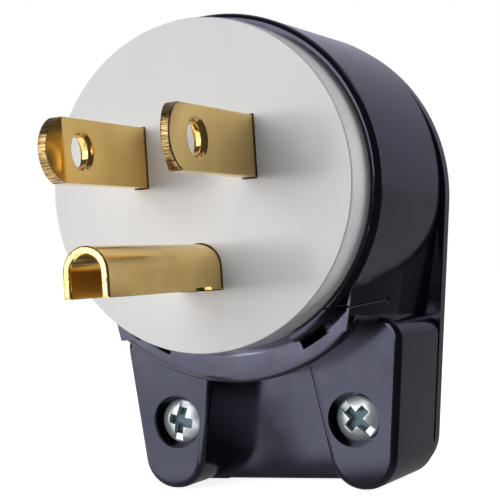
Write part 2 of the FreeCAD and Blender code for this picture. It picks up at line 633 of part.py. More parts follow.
def back_cover():
    """The flat cover with its cord hump, locating rim, screw bosses and nut pockets."""
    plate = cover_plate()
    hump = cord_rod(HUMP_RADIUS, BOTTOM_Z, CORD_CHANNEL_TOP_Z)
    crown = Part.makeSphere(HUMP_RADIUS, Vec(0, CORD_AXIS_Y, CORD_CHANNEL_TOP_Z))
    hump_rear_y = CORD_AXIS_Y + HUMP_RADIUS
    behind = box(-HUMP_RADIUS, HUMP_RADIUS, DRUM_REAR_Y, hump_rear_y, BOTTOM_Z, DRUM_RADIUS)
    hump = fuse_all([hump, crown]).common(behind)
    rim_outer = BLOCK_RADIUS
    rim = revolve_y([
        (rim_outer - COVER_RIM_WALL, DRUM_REAR_Y - COVER_RIM_HEIGHT),
        (rim_outer, DRUM_REAR_Y - COVER_RIM_HEIGHT),
        (rim_outer, DRUM_REAR_Y), (rim_outer - COVER_RIM_WALL, DRUM_REAR_Y),
    ])
    solids = [plate, hump, rim]
    for x, z in POSTS:
        solids.append(cylinder_y(POST_RADIUS, x, z, BLOCK_REAR_Y, DRUM_REAR_Y))
    boss_y = DRUM_REAR_Y - NUT_BOSS_HEIGHT
    for side in (-1, 1):
        x = side * CLAMP_SCREW_X
        solids.append(cylinder_y(NUT_BOSS_RADIUS, x, CLAMP_SCREW_Z, boss_y, DRUM_REAR_Y))
    body = fuse_all(solids)
    channel = cord_rod(CORD_CHANNEL_RADIUS, BOTTOM_Z - 1, CORD_CHANNEL_TOP_Z)
    channel_end = Part.makeSphere(CORD_CHANNEL_RADIUS, Vec(0, CORD_AXIS_Y, CORD_CHANNEL_TOP_Z))
    cuts = [channel, channel_end]
    head = COVER_SCREW_HEAD_D / 2
    shank = COVER_SCREW_D / 2
    cone_height = head - shank
    for x, z in POSTS:
        cuts.append(post_hole(x, z, shank + SCREW_CLEARANCE, BLOCK_REAR_Y - 1, COVER_REAR_Y))
        cuts.append(Part.makeCone(head, shank, cone_height, Vec(x, COVER_REAR_Y, z), -AXIS_Y))
    for side in (-1, 1):
        x = side * CLAMP_SCREW_X
        cuts.append(post_hole(x, CLAMP_SCREW_Z, CLAMP_SHANK_D / 2 + SCREW_CLEARANCE,
                              boss_y - 1, COVER_REAR_Y + 1))
        cuts.append(hexagon(x, NUT_ACROSS_FLATS + 2 * NUT_CLEARANCE,
                            COVER_REAR_Y - NUT_THICKNESS, COVER_REAR_Y + 1))
    body = body.cut(cuts)
    ribs = []
    rear_half = box(-HUMP_RADIUS, HUMP_RADIUS, DRUM_REAR_Y, hump_rear_y, BOTTOM_Z, 0)
    for ring in grip_ribs():
        ribs.append(ring.common(rear_half))
    return fuse_all([body] + ribs)


def hexagon(x, across_flats, y_from, y_to):
    """A six-sided bar along Y at a clamp screw."""
    radius = across_flats / math.sqrt(3)
    points = []
    for index in range(6):
        angle = math.radians(60 * index)
        points.append((x + radius * math.cos(angle), CLAMP_SCREW_Z + radius * math.sin(angle)))
    return prism_y(points, y_from, y_to)


def clamp_nut(x):
    """A hexagon nut in the cover's pocket."""
    front_y = COVER_REAR_Y - NUT_THICKNESS
    nut = hexagon(x, NUT_ACROSS_FLATS, front_y, COVER_REAR_Y)
    bore_radius = CLAMP_SHANK_D / 2 + THREAD_CLEARANCE
    return nut.cut(post_hole(x, CLAMP_SCREW_Z, bore_radius, front_y - 1, COVER_REAR_Y + 1))


def cross_drive(radius, x, z, y_face, inwards):
    """A slot with a deeper cross, to be cut from a screw head; inwards is +1 or -1 along Y."""
    half = DRIVE_SLOT_WIDTH / 2
    reach = radius * DRIVE_SLOT_SHARE
    arm = radius * DRIVE_CROSS_SHARE
    low_y, high_y = sorted((y_face - inwards, y_face + inwards * DRIVE_SLOT_DEPTH))
    slot = box(x - half, x + half, low_y, high_y, z - reach, z + reach)
    low_y, high_y = sorted((y_face - inwards, y_face + inwards * DRIVE_CROSS_DEPTH))
    upright = box(x - half, x + half, low_y, high_y, z - arm, z + arm)
    level = box(x - arm, x + arm, low_y, high_y, z - half, z + half)
    return slot.fuse([upright, level])


def clamp_screw(x, turn_deg):
    """A domed pan-head screw, sunk in an ear, that reaches the nut in the cover."""
    head = CLAMP_HEAD_D / 2
    top_y = EAR_FACE_Y + CLAMP_HEAD_SINK
    seat_y = top_y + CLAMP_HEAD_H
    shank = CLAMP_SHANK_D / 2
    rise = CLAMP_HEAD_DOME
    dome_radius = (head ** 2 + rise ** 2) / (2 * rise)
    mid_r = head / 2
    mid_y = top_y + dome_radius - math.sqrt(dome_radius ** 2 - mid_r ** 2)
    end_y = COVER_REAR_Y - NUT_CLEARANCE
    corners = [Vec(0, top_y, 0), Vec(head, top_y + rise, 0), Vec(head, seat_y, 0), Vec(shank, seat_y, 0),
               Vec(shank, end_y, 0), Vec(0, end_y, 0)]
    screw = bent_face(corners, {0: Vec(mid_r, mid_y, 0)}).revolve(ORIGIN, AXIS_Y, 360)
    screw = screw.cut(cross_drive(head, 0, 0, top_y, 1))
    screw.rotate(ORIGIN, AXIS_Y, turn_deg)
    screw.translate(Vec(x, 0, CLAMP_SCREW_Z))
    return screw


def cover_screw(x, z):
    """A countersunk screw, flush with the back of the cover."""
    head = COVER_SCREW_HEAD_D / 2 - THREAD_CLEARANCE
    shank = COVER_SCREW_D / 2
    cone = Part.makeCone(head, shank, head - shank, Vec(x, COVER_REAR_Y, z), -AXIS_Y)
    rod = cylinder_y(shank, x, z, COVER_SCREW_TIP_Y, COVER_REAR_Y - (head - shank))
    return fuse_all([cone, rod]).cut(cross_drive(head * 0.6, x, z, COVER_REAR_Y, -1))


def retainer_screw(x):
    """A small screw that holds the terminal block on the face body."""
    seat_y = BLOCK_FLOOR_Y
    head = cylinder_y(RETAINER_HEAD_D / 2, x, RETAINER_Z, seat_y, seat_y + RETAINER_HEAD_H)
    rod = cylinder_y(RETAINER_D / 2, x, RETAINER_Z, RETAINER_TIP_Y, seat_y)
    drive = cross_drive(RETAINER_HEAD_D * 0.35, x, RETAINER_Z, seat_y + RETAINER_HEAD_H, -1)
    return fuse_all([head, rod]).cut(drive)


def pressure_plate(x, z):
    """A washer with two turned-up lips that keep the strands under the screw."""
    half_x = PLATE_WIDTH / 2
    half_z = PLATE_HEIGHT / 2
    low_y = PAD_REAR_Y
    high_y = low_y + PLATE_THICKNESS
    solids = [box(x - half_x, x + half_x, low_y, high_y, z - half_z, z + half_z)]
    for lip_x in (x - half_x, x + half_x - PLATE_LIP):
        solids.append(box(lip_x, lip_x + PLATE_LIP, low_y, high_y + PLATE_LIP, z - half_z, z + half_z))
    hole = post_hole(x, z, TERMINAL_SHANK_D / 2 + SCREW_CLEARANCE, low_y - 1, high_y + 1)
    return fuse_all(solids).cut(hole)


def terminal_screw(x, z):
    """A binding-head screw that presses its plate on the pad."""
    seat_y = PAD_REAR_Y + PLATE_THICKNESS
    head = cylinder_y(TERMINAL_HEAD_D / 2, x, z, seat_y, seat_y + TERMINAL_HEAD_H)
    rim = edges_at(head, lambda edge, mid: mid.y > seat_y + TERMINAL_HEAD_H - 0.01)
    head = head.makeFillet(TERMINAL_HEAD_H / 3, rim)
    rod = cylinder_y(TERMINAL_SHANK_D / 2, x, z, BLOCK_FLOOR_Y - TERMINAL_SCREW_LENGTH, seat_y)
    drive = cross_drive(TERMINAL_HEAD_D / 2, x, z, seat_y + TERMINAL_HEAD_H, -1)
    return fuse_all([head, rod]).cut(drive)


def build():
    """Every piece of the plug, by name."""
    right_blade = blade()
    parts = {
        "line_blade": mirror_x(right_blade),
        "neutral_blade": right_blade,
        "ground_pin": ground_pin(),
    }
    parts["face_body"] = face_body()
    parts["terminal_block"] = terminal_block()
    parts["front_housing"] = front_housing()
    parts["back_cover"] = back_cover()
    for name, (x, z) in TERMINALS.items():
        parts[name + "_pressure_plate"] = pressure_plate(x, z)
        parts[name + "_terminal_screw"] = terminal_screw(x, z)
    for name, side, turn in (("left", -1, 15), ("right", 1, -45)):
        x = side * CLAMP_SCREW_X
        parts["clamp_screw_" + name] = clamp_screw(x, turn)
        parts["clamp_nut_" + name] = clamp_nut(x)
        parts["retainer_screw_" + name] = retainer_screw(side * RETAINER_X)
    for name, (x, z) in zip(("top", "left", "right"), POSTS):
        parts["cover_screw_" + name] = cover_screw(x, z)
    return parts


os.makedirs("parts", exist_ok=True)
for node, shape in build().items():
    shape.exportStep("parts/" + node + ".step")
    print(node, "solids", len(shape.Solids), "volume", round(shape.Volume, 2), "valid", shape.isValid())
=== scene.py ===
"""The looks of a grounded angle mains plug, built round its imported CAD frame.

Metres throughout. The origin is the centre of the white face. -Y is the direction of the pins, +Z
is up.
"""

import math
from collections import namedtuple

import bmesh
import bpy
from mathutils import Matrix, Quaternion, Vector


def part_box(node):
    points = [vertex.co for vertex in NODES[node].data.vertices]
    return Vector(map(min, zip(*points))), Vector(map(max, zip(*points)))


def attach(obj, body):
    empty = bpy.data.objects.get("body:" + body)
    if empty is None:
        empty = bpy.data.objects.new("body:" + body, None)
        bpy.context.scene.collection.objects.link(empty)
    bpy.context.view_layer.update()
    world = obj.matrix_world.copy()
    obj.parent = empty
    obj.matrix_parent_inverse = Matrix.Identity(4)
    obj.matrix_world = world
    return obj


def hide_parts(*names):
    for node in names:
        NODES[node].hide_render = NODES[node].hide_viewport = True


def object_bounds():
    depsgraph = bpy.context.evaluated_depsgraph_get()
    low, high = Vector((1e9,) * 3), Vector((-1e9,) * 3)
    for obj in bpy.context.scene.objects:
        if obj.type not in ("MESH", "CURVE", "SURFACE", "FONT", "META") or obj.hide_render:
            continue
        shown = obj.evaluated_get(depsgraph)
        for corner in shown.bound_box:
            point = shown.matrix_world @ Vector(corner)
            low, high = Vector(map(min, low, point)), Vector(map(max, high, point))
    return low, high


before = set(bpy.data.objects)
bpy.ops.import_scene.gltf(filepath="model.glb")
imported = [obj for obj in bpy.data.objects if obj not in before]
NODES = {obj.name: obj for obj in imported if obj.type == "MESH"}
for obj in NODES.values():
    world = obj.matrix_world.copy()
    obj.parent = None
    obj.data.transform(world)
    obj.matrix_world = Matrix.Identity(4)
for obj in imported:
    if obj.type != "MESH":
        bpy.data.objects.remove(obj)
CAD_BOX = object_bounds()
ROOT = "root"
MM = 0.001

bl_info = {
    "name": "Angle plug finish",
    "version": (1, 0, 0),
    "blender": (4, 5, 0),
    "location": "3D View > Sidebar > Plug",
    "description": "Finishes and fine detail of a grounded angle mains plug",
    "category": "Object",
}

CLAMP_SCREWS = ("clamp_screw_left", "clamp_screw_right")
CLAMP_NUTS = ("clamp_nut_left", "clamp_nut_right")
COVER_SCREWS = ("cover_screw_top", "cover_screw_left", "cover_screw_right")
RETAINER_SCREWS = ("retainer_screw_left", "retainer_screw_right")
PRESSURE_PLATES = ("line_pressure_plate", "neutral_pressure_plate", "ground_pressure_plate")

# Places read from the frame. A flat pin's tip is an arc, its radius a share of the pin's height.
HEAD_TOP_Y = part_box("clamp_screw_left")[0].y
BLADE_LOW, BLADE_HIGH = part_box("neutral_blade")
BLADE_TIP_Y = BLADE_LOW.y
BLADE_ROW_Z = (BLADE_LOW.z + BLADE_HIGH.z) / 2
TIP_RADIUS_SHARE = 0.5307
BLADE_TIP_RADIUS = TIP_RADIUS_SHARE * (BLADE_HIGH.z - BLADE_LOW.z)
GROUND_TIP_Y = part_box("ground_pin")[0].y

# What a fade does between the two ends of its range
FADE_IN = (0.0, 1.0)
FADE_OUT = (1.0, 0.0)

WHITE = (1.0, 1.0, 1.0)
BLACK = (0.0, 0.0, 0.0)


class PlugColours(bpy.types.PropertyGroup):
    """The colours of the plug's finishes."""

    black: bpy.props.FloatVectorProperty(
        name="Black plastic", description="Housing and cover", subtype="COLOR", size=3,
        default=(0.006, 0.0055, 0.010), min=0.0, max=1.0)
    white: bpy.props.FloatVectorProperty(
        name="White plastic", description="Face body and terminal block", subtype="COLOR", size=3,
        default=(0.80, 0.81, 0.83), min=0.0, max=1.0)
    brass: bpy.props.FloatVectorProperty(
        name="Pin brass", description="Flat pins and ground pin", subtype="COLOR", size=3,
        default=(0.98, 0.69, 0.24), min=0.0, max=1.0)
    brass_dark: bpy.props.FloatVectorProperty(
        name="Tarnish", description="Darker clouds on the pins", subtype="COLOR", size=3,
        default=(0.83, 0.56, 0.19), min=0.0, max=1.0)
    sheared: bpy.props.FloatVectorProperty(
        name="Sheared brass", description="Dull brass of the flat pins' cut ends",
        subtype="COLOR", size=3, default=(0.62, 0.42, 0.17), min=0.0, max=1.0)
    zinc: bpy.props.FloatVectorProperty(
        name="Zinc", description="Plated screws, nuts and plates", subtype="COLOR", size=3,
        default=(0.70, 0.77, 0.79), min=0.0, max=1.0)
    # Painted shade: this darker colour stands in for the shade in the bottom of the clamp screws'
    # recess
    recess: bpy.props.FloatVectorProperty(
        name="Recess", description="Dull bottom of the clamp screws' recess",
        subtype="COLOR", size=3, default=(0.13, 0.19, 0.22), min=0.0, max=1.0)
    nickel: bpy.props.FloatVectorProperty(
        name="Nickel", description="Neutral terminal screw", subtype="COLOR", size=3,
        default=(0.70, 0.69, 0.64), min=0.0, max=1.0)
    green: bpy.props.FloatVectorProperty(
        name="Green", description="Ground terminal screw", subtype="COLOR", size=3,
        default=(0.05, 0.30, 0.11), min=0.0, max=1.0)


class PlugSizes(bpy.types.PropertyGroup):
    """Sizes of the fine detail that the frame leaves out."""

    grain: bpy.props.FloatProperty(
        name="Moulding grain", description="Size of the ripples in the moulded plastic",
        default=1.6 * MM, min=0.1 * MM, unit="LENGTH")
    streak: bpy.props.FloatProperty(
        name="Rolling streak", description="Width of the rolling marks on the brass",
        default=0.12 * MM, min=0.01 * MM, unit="LENGTH")
    blade_edge: bpy.props.FloatProperty(
        name="Flat pin edge", description="Rounding of the flat pins' stamped edges",
        default=0.16 * MM, min=0.0, unit="LENGTH")
    arch_edge: bpy.props.FloatProperty(
        name="Ground pin edge", description="Rounding of the ground pin's sheet edges",
        default=0.10 * MM, min=0.0, unit="LENGTH")
    screw_edge: bpy.props.FloatProperty(
        name="Screw edge", description="Rounding of screw heads, slots and nuts",
        default=0.09 * MM, min=0.0, unit="LENGTH")
    disc_edge: bpy.props.FloatProperty(
        name="White face edge", description="Rounding of the white disc and of its slots",
        default=0.10 * MM, min=0.0, unit="LENGTH")
    flow_mark_depth: bpy.props.FloatProperty(
        name="Flow mark", description="Depth of the shallow line on the neck's side",
        default=0.05 * MM, min=0.0, unit="LENGTH")


class PlugStudio(bpy.types.PropertyGroup):
    """The camera, the lamps and the background."""

    azimuth: bpy.props.FloatProperty(
        name="Azimuth", description="Angle of the camera round the plug",
        default=math.radians(26.09), unit="ROTATION")
    elevation: bpy.props.FloatProperty(
        name="Elevation", description="Angle of the camera above the horizon",
        default=math.radians(-1.20), unit="ROTATION")
    roll: bpy.props.FloatProperty(
        name="Roll", description="Turn of the camera about its view",
        default=math.radians(-3.73), unit="ROTATION")
    distance: bpy.props.FloatProperty(
        name="Distance", description="From the camera to its aim",
        default=146.79 * MM, unit="LENGTH")
    aim: bpy.props.FloatVectorProperty(
        name="Aim", description="Point in the middle of the picture", size=3, unit="LENGTH",
        default=(0.94 * MM, 10.0 * MM, -6.80 * MM))
    lens: bpy.props.FloatProperty(
        name="Lens", description="Focal length on a 36 mm sensor, in millimetres", default=96.41)
    key_power: bpy.props.FloatProperty(
        name="Key lamp", description="Radiance of the large front softbox", default=2.6, min=0.0)
    ambient: bpy.props.FloatProperty(
        name="Ambient", description="Strength of the room's light", default=0.085, min=0.0)
    backdrop: bpy.props.FloatProperty(
        name="Backdrop in gloss",
        description="Share of the white backdrop's strength that gloss and metal show",
        default=1.25, min=0.0)
    back_floor: bpy.props.FloatProperty(
        name="Back of the floor in gloss",
        description="Strength of the floor behind the plug as gloss shows it",
        default=0.165, min=0.0)
    gloss_tint: bpy.props.FloatVectorProperty(
        name="Room tint", description="Colour of the room as gloss and metal show it",
        subtype="COLOR", size=3, default=(0.84, 0.82, 1.0), min=0.0, max=1.0)
    floor_gloss: bpy.props.FloatProperty(
        name="Floor in gloss",
        description="Strength of the lit floor before the plug as gloss shows it",
        default=1.42, min=0.0)
    fill_power: bpy.props.FloatProperty(
        name="Fill lamp", description="Radiance of the softbox behind on the right",
        default=25.0, min=0.0)
    glow_power: bpy.props.FloatProperty(
        name="Glow lamp", description="Radiance of the small softbox that the satin face shows",
        default=11.0, min=0.0)
    right_room: bpy.props.FloatProperty(
        name="Right of the room in gloss",
        description="Strength behind on the right as gloss and metal show it",
        default=0.6, min=0.0)
    dim_room: bpy.props.FloatProperty(
        name="Room in gloss",
        description="Strength of the rest of the room as gloss and metal show it",
        default=0.04, min=0.0)


def scaled(rgb, factor):
    """A colour with each channel times a factor."""
    return tuple(channel * factor for channel in rgb)


def shifted(start, offsets):
    """Places at these offsets from a start."""
    return tuple(start + offset for offset in offsets)


class NodeTree:
    """A node tree, filled from its output backwards."""

    def __init__(self, tree):
        self.nodes = tree.nodes
        self.links = tree.links

    def node(self, kind, **settings):
        """A new node with its own settings, such as an operation."""
        made = self.nodes.new(kind)
        for key, value in settings.items():
            setattr(made, key, value)
        return made

    def split(self, vector):
        """The X, Y and Z of a vector, each on a socket of its own."""
        made = self.node("ShaderNodeSeparateXYZ")
        self.links.new(vector, made.inputs["Vector"])
        return made.outputs

    def spread(self, value, source, result=FADE_IN):
        """A value moved from one range to another, clamped."""
        made = self.node("ShaderNodeMapRange")
        for key, number in zip(("From Min", "From Max", "To Min", "To Max"), (*source, *result)):
            made.inputs[key].default_value = number
        self.links.new(value, made.inputs["Value"])
        return made.outputs["Result"]

    def blend(self, factor, first, second):
        """A colour between two, which may be colours or sockets."""
        made = self.node("ShaderNodeMix", data_type="RGBA")
        self.links.new(factor, made.inputs["Factor"])
        for name, value in (("A", first), ("B", second)):
            target = next(i for i in made.inputs if i.name == name and i.type == "RGBA")
            if isinstance(value, bpy.types.NodeSocket):
                self.links.new(value, target)
            else:
                target.default_value = (*value, 1.0)
        return next(o for o in made.outputs if o.type == "RGBA")

    def combine(self, operation, *values):
        """One to three values, numbers or sockets, by a sum, product or the like."""
        made = self.node("ShaderNodeMath", operation=operation)
        for index, value in enumerate(values):
            if isinstance(value, bpy.types.NodeSocket):
                self.links.new(value, made.inputs[index])
            else:
                made.inputs[index].default_value = value
        return made.outputs["Value"]

    def product(self, first, *others):
        """Values multiplied one after another."""
        for value in others:
            first = self.combine("MULTIPLY", first, value)
        return first

    def distance(self, along, across):
        """The distance that two offsets at right angles make."""
        squares = self.combine("ADD", self.product(along, along), self.product(across, across))
        return self.combine("SQRT", squares)


class Shader(NodeTree):
    """A material's node tree with its surface."""

    def __init__(self, name):
        self.material = bpy.data.materials.new(name)
        self.material.use_nodes = True
        super().__init__(self.material.node_tree)
        self.surface = self.nodes["Principled BSDF"]

    def set(self, **values):
        """Constants on the surface's own sockets: underscores stand for spaces."""
        for key, value in values.items():
            self.surface.inputs[key.replace("_", " ")].default_value = value

    def colour(self, key, rgb):
        """A plain colour on one of the surface's sockets."""
        self.surface.inputs[key].default_value = (*rgb, 1.0)

    def drive(self, key, value):
        """A socket of the surface that follows a texture."""
        self.links.new(value, self.surface.inputs[key])

    def place(self, scale=(1, 1, 1)):
        """Object coordinates through a Mapping node."""
        coordinates = self.node("ShaderNodeTexCoord")
        mapping = self.node("ShaderNodeMapping")
        mapping.inputs["Scale"].default_value = scale
        self.links.new(coordinates.outputs["Object"], mapping.inputs["Vector"])
        return mapping.outputs["Vector"]

    def noise(self, size, detail=3.0, roughness=0.5, stretch=(1, 1, 1)):
        """Noise with features of about this size in metres."""
        made = self.node("ShaderNodeTexNoise")
        made.inputs["Scale"].default_value = 1.0
        made.inputs["Detail"].default_value = detail
        made.inputs["Roughness"].default_value = roughness
        scale = tuple(1.0 / (size * factor) for factor in stretch)
        self.links.new(self.place(scale), made.inputs["Vector"])
        return made.outputs["Fac"]

    def bump(self, height, depth, before=None):
        """Relief of this depth in metres; before is a relief under it."""
        made = self.node("ShaderNodeBump")
        made.inputs["Strength"].default_value = 1.0
        made.inputs["Distance"].default_value = depth
        self.links.new(height, made.inputs["Height"])
        if before is not None:
            self.links.new(before, made.inputs["Normal"])
        return made.outputs["Normal"]


# The part of a noise's values that a change is spread over: soft clouds, and smaller spots
CLOUDS = (0.3, 0.7)
SPOTS = (0.35, 0.7)

BLACK_IOR = 1.8
BLACK_TINT = (0.72, 0.735, 1.0)
BLACK_CLOUD_SIZE = 9 * MM
BLACK_CLOUD_LIFT = 1.5
BLACK_HAZE_SIZE = 2.5 * MM
BLACK_HAZE = (0.3, 0.75)
BLACK_ROUGHNESS = (0.10, 0.17)
RIPPLE_DEPTH = 0.0015 * MM
BLACK_PORE_SIZE = 0.12 * MM
BLACK_PORE_DEPTH = 0.0006 * MM
# The specular level away from the flow mark, which has none
CLEAR_SPECULAR = 0.5


def black_plastic():
    """Polished black moulding: faint ripples and pores, haze in its gloss, and the flow mark."""
    look = bpy.context.scene.plug_colours
    sizes = bpy.context.scene.plug_sizes
    shader = Shader("black_plastic")
    shader.set(Metallic=0.0, IOR=BLACK_IOR)
    shader.colour("Specular Tint", BLACK_TINT)
    tone = shader.spread(shader.noise(BLACK_CLOUD_SIZE, detail=4.0), CLOUDS)
    lifted = scaled(look.black, BLACK_CLOUD_LIFT)
    shader.drive("Base Color", shader.blend(tone, look.black, lifted))
    haze = shader.noise(BLACK_HAZE_SIZE, detail=5.0, roughness=0.6)
    shader.drive("Roughness", shader.spread(haze, BLACK_HAZE, BLACK_ROUGHNESS))
    ripples = shader.bump(shader.noise(sizes.grain, detail=2.0), RIPPLE_DEPTH)
    pores = shader.bump(shader.noise(BLACK_PORE_SIZE, detail=2.0), BLACK_PORE_DEPTH, ripples)
    clear = shader.combine("SUBTRACT", 1.0, flow_mark(shader))
    shader.drive("Normal", shader.bump(clear, sizes.flow_mark_depth, pores))
    shader.drive("Specular IOR Level", shader.product(clear, CLEAR_SPECULAR))
    return shader.material


# The flow mark on the neck's right side: the place of its round end, and the rise of its line
FLOW_END_Y = 14.4 * MM
FLOW_END_Z = -13.05 * MM
FLOW_SLOPE = 0.045
# Where the mark fades: across the line, along the line at its end, outwards from the middle of the
# round end, and across the plug, because its left side has no mark
FLOW_LINE_EDGE = (0.04 * MM, 0.14 * MM)
FLOW_LINE_END = (-0.1 * MM, 0.1 * MM)
FLOW_ROUND_EDGE = (0.22 * MM, 0.40 * MM)
FLOW_SIDE_X = (8 * MM, 9 * MM)


def flow_mark(shader):
    """One on the line and the round end that the moulding's flow left, zero elsewhere."""
    axes = shader.split(shader.place())
    along = shader.combine("SUBTRACT", axes["Y"], FLOW_END_Y)
    height = shader.combine("SUBTRACT", axes["Z"], FLOW_END_Z)
    off_line = shader.combine("SUBTRACT", height, shader.product(along, FLOW_SLOPE))
    thin = shader.spread(shader.combine("ABSOLUTE", off_line), FLOW_LINE_EDGE, FADE_OUT)
    line = shader.product(thin, shader.spread(along, FLOW_LINE_END, FADE_OUT))
    end = shader.spread(shader.distance(along, height), FLOW_ROUND_EDGE, FADE_OUT)
    right_side = shader.spread(axes["X"], FLOW_SIDE_X)
    return shader.product(shader.combine("MAXIMUM", line, end), right_side)


WHITE_IOR = 1.46
WHITE_CLOUD_SIZE = 7 * MM
WHITE_CLOUD_SHADE = 0.965
WHITE_HAZE_SIZE = 1.4 * MM
WHITE_ROUGHNESS = (0.23, 0.27)
WHITE_PORE_SIZE = 0.16 * MM
WHITE_PORE_DEPTH = 0.0012 * MM


def white_plastic():
    """Satin white moulding."""
    look = bpy.context.scene.plug_colours
    shader = Shader("white_plastic")
    shader.set(Metallic=0.0, IOR=WHITE_IOR)
    tone = shader.spread(shader.noise(WHITE_CLOUD_SIZE, detail=4.0), CLOUDS)
    deeper = scaled(look.white, WHITE_CLOUD_SHADE)
    shader.drive("Base Color", shader.blend(tone, look.white, deeper))
    haze = shader.noise(WHITE_HAZE_SIZE, detail=4.0)
    shader.drive("Roughness", shader.spread(haze, CLOUDS, WHITE_ROUGHNESS))
    pores = shader.noise(WHITE_PORE_SIZE, detail=3.0)
    shader.drive("Normal", shader.bump(pores, WHITE_PORE_DEPTH))
    return shader.material


BRASS_METALLIC = 0.9
BRASS_CLOUD_SIZE = 4.5 * MM
BRASS_ROUGHNESS = (0.12, 0.19)
CLOUD_TARNISH = (0.0, 0.8)
STREAK_TARNISH = (0.0, 0.2)
STREAK_STRETCH = (1, 60, 1)
STREAK_DEPTH = 0.0010 * MM
# The sheared rim of a flat pin's tip: its depth from the tip's arc, its end behind the tip, and the
# place below the row of flat pins where it stops, which leaves the ground pin out
SHEAR_RIM = (-0.10 * MM, -0.03 * MM)
SHEAR_END = (2.1 * MM, 2.4 * MM)
SHEAR_BELOW_ROW = (-4.0 * MM, -3.6 * MM)
SHEAR_ROUGHNESS = 0.16
TEAR_SIZE = 0.12 * MM
TEAR_STRETCH = (14, 1, 1)
TEARS = (0.42, 0.56)
TEAR_SHADE = 0.22
TEAR_DEPTH = 0.02 * MM
# The dents in the ground pin's front rim
DENT_END = (0.06 * MM, 0.16 * MM)
DENT_SIZE = 0.20 * MM
DENTS = (0.50, 0.60)
DENT_DEPTH = 0.01 * MM


def sheared_rim(shader, axes):
    """One on the cut rim of the flat pins' tips, zero elsewhere."""
    from_tip = shader.combine("SUBTRACT", axes["Y"], BLADE_TIP_Y + BLADE_TIP_RADIUS)
    from_row = shader.combine("SUBTRACT", axes["Z"], BLADE_ROW_Z)
    reach = shader.distance(from_tip, from_row)
    rim = shader.spread(reach, shifted(BLADE_TIP_RADIUS, SHEAR_RIM))
    near_tip = shader.spread(axes["Y"], shifted(BLADE_TIP_Y, SHEAR_END), FADE_OUT)
    above_ground_pin = shader.spread(axes["Z"], shifted(BLADE_ROW_Z, SHEAR_BELOW_ROW))
    return shader.product(rim, near_tip, above_ground_pin)


def pin_brass():
    """Rolled brass: clouds, streaks, torn marks on sheared tips, dents in the ground pin's rim."""
    look = bpy.context.scene.plug_colours
    sizes = bpy.context.scene.plug_sizes
    shader = Shader("pin_brass")
    shader.set(Metallic=BRASS_METALLIC)
    cloud = shader.noise(BRASS_CLOUD_SIZE, detail=4.0)
    streaks = shader.noise(sizes.streak, detail=3.0, roughness=0.6, stretch=STREAK_STRETCH)
    tarnish = shader.combine("ADD", shader.spread(cloud, SPOTS, CLOUD_TARNISH),
                             shader.spread(streaks, CLOUDS, STREAK_TARNISH))
    rolled = shader.blend(tarnish, look.brass, look.brass_dark)
    axes = shader.split(shader.place())
    sheared = sheared_rim(shader, axes)
    marks = shader.noise(TEAR_SIZE, detail=3.0, roughness=0.7, stretch=TEAR_STRETCH)
    torn = shader.blend(shader.spread(marks, TEARS), look.sheared,
                        scaled(look.sheared, TEAR_SHADE))
    front = shader.spread(axes["Y"], shifted(GROUND_TIP_Y, DENT_END), FADE_OUT)
    dents = shader.spread(shader.noise(DENT_SIZE, detail=1.0), DENTS)
    stamped = shader.product(dents, front)
    cut = shader.blend(sheared, rolled, torn)
    shader.drive("Base Color", shader.blend(stamped, cut, look.sheared))
    gloss = shader.spread(cloud, CLOUDS, BRASS_ROUGHNESS)
    dullness = shader.product(sheared, SHEAR_ROUGHNESS)
    shader.drive("Roughness", shader.combine("ADD", gloss, dullness))
    rolled_relief = shader.bump(streaks, STREAK_DEPTH)
    torn_relief = shader.bump(shader.product(marks, sheared), TEAR_DEPTH, rolled_relief)
    shader.drive("Normal", shader.bump(stamped, DENT_DEPTH, torn_relief))
    return shader.material


CLAMP_METALLIC = 0.7
CLAMP_ROUGHNESS = (0.34, 0.45)
# Where the bottom of a clamp screw's recess begins, behind the top of its head: from there the zinc
# is rougher, and its colour darker as painted shade
RECESS_START = (0.85 * MM, 1.1 * MM)
CLAMP_BLOOM_SIZE = 0.25 * MM
CLAMP_BLOOM_SHADE = 0.85
PRESSED_SIZE = 0.10 * MM
PRESSED_STRETCH = (1, 1, 4)
PRESSED = (0.4, 0.6)
PRESSED_SHADE = 0.45
PRESSED_DEPTH = 0.004 * MM


def clamp_zinc():
    """Zinc on the clamp screws: bright on the head; rougher in the bottom of the recess, and darker
    and blue in colour there as painted shade.
    """
    look = bpy.context.scene.plug_colours
    shader = Shader("clamp_zinc")
    shader.set(Metallic=CLAMP_METALLIC)
    axes = shader.split(shader.place())
    # One in the bottom of the recess: rougher there, and darker in colour as painted shade
    deep = shader.spread(axes["Y"], shifted(HEAD_TOP_Y, RECESS_START))
    bloom = shader.noise(CLAMP_BLOOM_SIZE, detail=4.0, roughness=0.6)
    bright = shader.blend(shader.spread(bloom, SPOTS), look.zinc,
                          scaled(look.zinc, CLAMP_BLOOM_SHADE))
    pressed = shader.noise(PRESSED_SIZE, detail=3.0, roughness=0.7, stretch=PRESSED_STRETCH)
    # Painted shade: the recess bottom's darker colour, with pressed marks in it
    recess_shade = shader.blend(shader.spread(pressed, PRESSED), look.recess,
                        scaled(look.recess, PRESSED_SHADE))
    shader.drive("Base Color", shader.blend(deep, bright, recess_shade))
    shader.drive("Roughness", shader.spread(deep, FADE_IN, CLAMP_ROUGHNESS))
    shader.drive("Normal", shader.bump(pressed, PRESSED_DEPTH))
    return shader.material


BLOOM_SIZE = 0.5 * MM
BLOOM_SHADE = 0.72
TURNING_SIZE = 0.06 * MM
TURNING_DEPTH = 0.002 * MM


